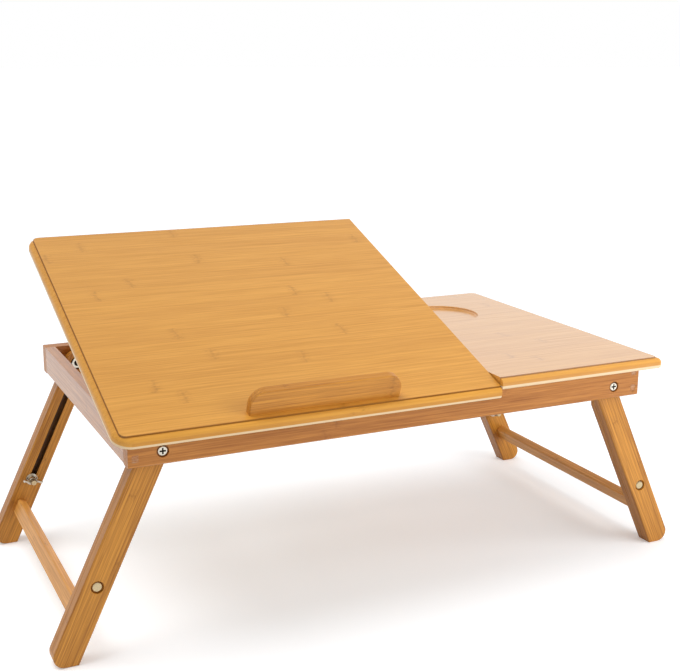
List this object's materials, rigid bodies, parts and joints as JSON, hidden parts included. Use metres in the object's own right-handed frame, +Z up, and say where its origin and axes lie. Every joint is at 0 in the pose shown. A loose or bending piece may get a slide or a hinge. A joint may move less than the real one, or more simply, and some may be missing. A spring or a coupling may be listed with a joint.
{
  "type": "folding laptop stand with drawer",
  "caption": "Folding wooden lap table with a tilting, propped panel for a laptop, a fixed panel over a side drawer, and folding legs whose height is set by wing nuts.",
  "frame": {"origin": "on the floor, under the middle of the frame, with the legs splayed", "axes": "+X to the drawer's side, +Y to the back, +Z up"},
  "size_m": [0.6346, 0.3461, 0.3114],
  "materials": {
    "pale_bamboo": "satin lacquer",
    "caramel_bamboo": "satin lacquer",
    "leg_bamboo": "satin lacquer",
    "light_bamboo": "satin lacquer",
    "nickel_plate": "nickel plated",
    "zinc_plate": "zinc plated"
  },
  "bodies": {
    "frame": {"front_apron": "caramel_bamboo", "back_apron": "caramel_bamboo", "left_rail": "caramel_bamboo", "right_rail": "caramel_bamboo", "divider": "caramel_bamboo", "front_bay_wall": "caramel_bamboo", "back_bay_wall": "caramel_bamboo", "left_batten": "caramel_bamboo", "right_batten": "caramel_bamboo", "fixed_panel": "pale_bamboo", "panel_dowels": "light_bamboo", "frame_hinge_leaves": "zinc_plate", "hinge_pins": "zinc_plate", "frame_hinge_screws": "zinc_plate", "pivot_screws": "nickel_plate", "pivot_spacers": "nickel_plate", "pivot_nuts": "nickel_plate"},
    "tilting_top": {"tilting_panel": "pale_bamboo", "stop_ledge": "pale_bamboo", "ledge_screws": "zinc_plate", "panel_hinge_leaves": "zinc_plate", "panel_hinge_screws": "zinc_plate", "prop_brackets": "zinc_plate", "bracket_screws": "zinc_plate", "prop_pin": "nickel_plate"},
    "prop": {"prop_strut": "light_bamboo", "prop_foot_pin": "nickel_plate"},
    "drawer": {"drawer_front": "caramel_bamboo", "front_drawer_side": "light_bamboo", "back_drawer_side": "light_bamboo", "drawer_rear": "light_bamboo", "drawer_bottom": "light_bamboo", "drawer_knob": "light_bamboo", "knob_screw": "zinc_plate"},
    "left_legs": {"front_left_outer_plank": "leg_bamboo", "back_left_outer_plank": "leg_bamboo", "left_bolts": "nickel_plate", "left_washers": "nickel_plate"},
    "left_extension": {"front_left_inner_plank": "leg_bamboo", "back_left_inner_plank": "leg_bamboo", "left_stretcher": "light_bamboo"},
    "right_legs": {"front_right_outer_plank": "leg_bamboo", "back_right_outer_plank": "leg_bamboo", "right_bolts": "nickel_plate", "right_washers": "nickel_plate"},
    "right_extension": {"front_right_inner_plank": "leg_bamboo", "back_right_inner_plank": "leg_bamboo", "right_stretcher": "light_bamboo"},
    "front_left_wing_nut": {"front_left_wing_nut": "nickel_plate"},
    "front_right_wing_nut": {"front_right_wing_nut": "nickel_plate"},
    "back_left_wing_nut": {"back_left_wing_nut": "nickel_plate"},
    "back_right_wing_nut": {"back_right_wing_nut": "nickel_plate"}
  },
  "joints": [
    {"name": "top_tilt", "type": "hinge", "parent": "frame", "child": "tilting_top", "pos_m": [0, -0.1465, 0.1956], "axis": [1, 0, 0], "range_deg": [-19.3, 5]},
    {"name": "prop_swing", "type": "hinge", "parent": "tilting_top", "child": "prop", "pos_m": [0, 0.05124, 0.26177], "axis": [1, 0, 0], "range_deg": [-41.7, 10.9]},
    {"name": "drawer_slide", "type": "slide", "parent": "frame", "child": "drawer", "axis": [1, 0, 0], "range_m": [0, 0.11]},
    {"name": "left_leg_fold", "type": "hinge", "parent": "frame", "child": "left_legs", "pos_m": [-0.2245, 0, 0.1812], "axis": [0, -1, 0], "range_deg": [0, 115.2]},
    {"name": "left_leg_height", "type": "slide", "parent": "left_legs", "child": "left_extension", "axis": [0.4258, 0, 0.9048], "range_m": [-0.095, 0]},
    {"name": "right_leg_fold", "type": "hinge", "parent": "frame", "child": "right_legs", "pos_m": [0.2245, 0, 0.1812], "axis": [0, 1, 0], "range_deg": [0, 115.2]},
    {"name": "right_leg_height", "type": "slide", "parent": "right_legs", "child": "right_extension", "axis": [-0.4258, 0, 0.9048], "range_m": [-0.095, 0]},
    {"name": "front_left_nut_turn", "type": "hinge", "parent": "left_legs", "child": "front_left_wing_nut", "pos_m": [-0.27857, -0.122, 0.06629], "axis": [0, 1, 0], "continuous": true},
    {"name": "front_right_nut_turn", "type": "hinge", "parent": "right_legs", "child": "front_right_wing_nut", "pos_m": [0.27857, -0.122, 0.06629], "axis": [0, 1, 0], "continuous": true},
    {"name": "back_left_nut_turn", "type": "hinge", "parent": "left_legs", "child": "back_left_wing_nut", "pos_m": [-0.27857, 0.122, 0.06629], "axis": [0, 1, 0], "continuous": true},
    {"name": "back_right_nut_turn", "type": "hinge", "parent": "right_legs", "child": "back_right_wing_nut", "pos_m": [0.27857, 0.122, 0.06629], "axis": [0, 1, 0], "continuous": true}
  ],
  "couplings": [
    {"joint": "prop_swing", "follows": "top_tilt", "ratio": 2.1558}
  ]
}
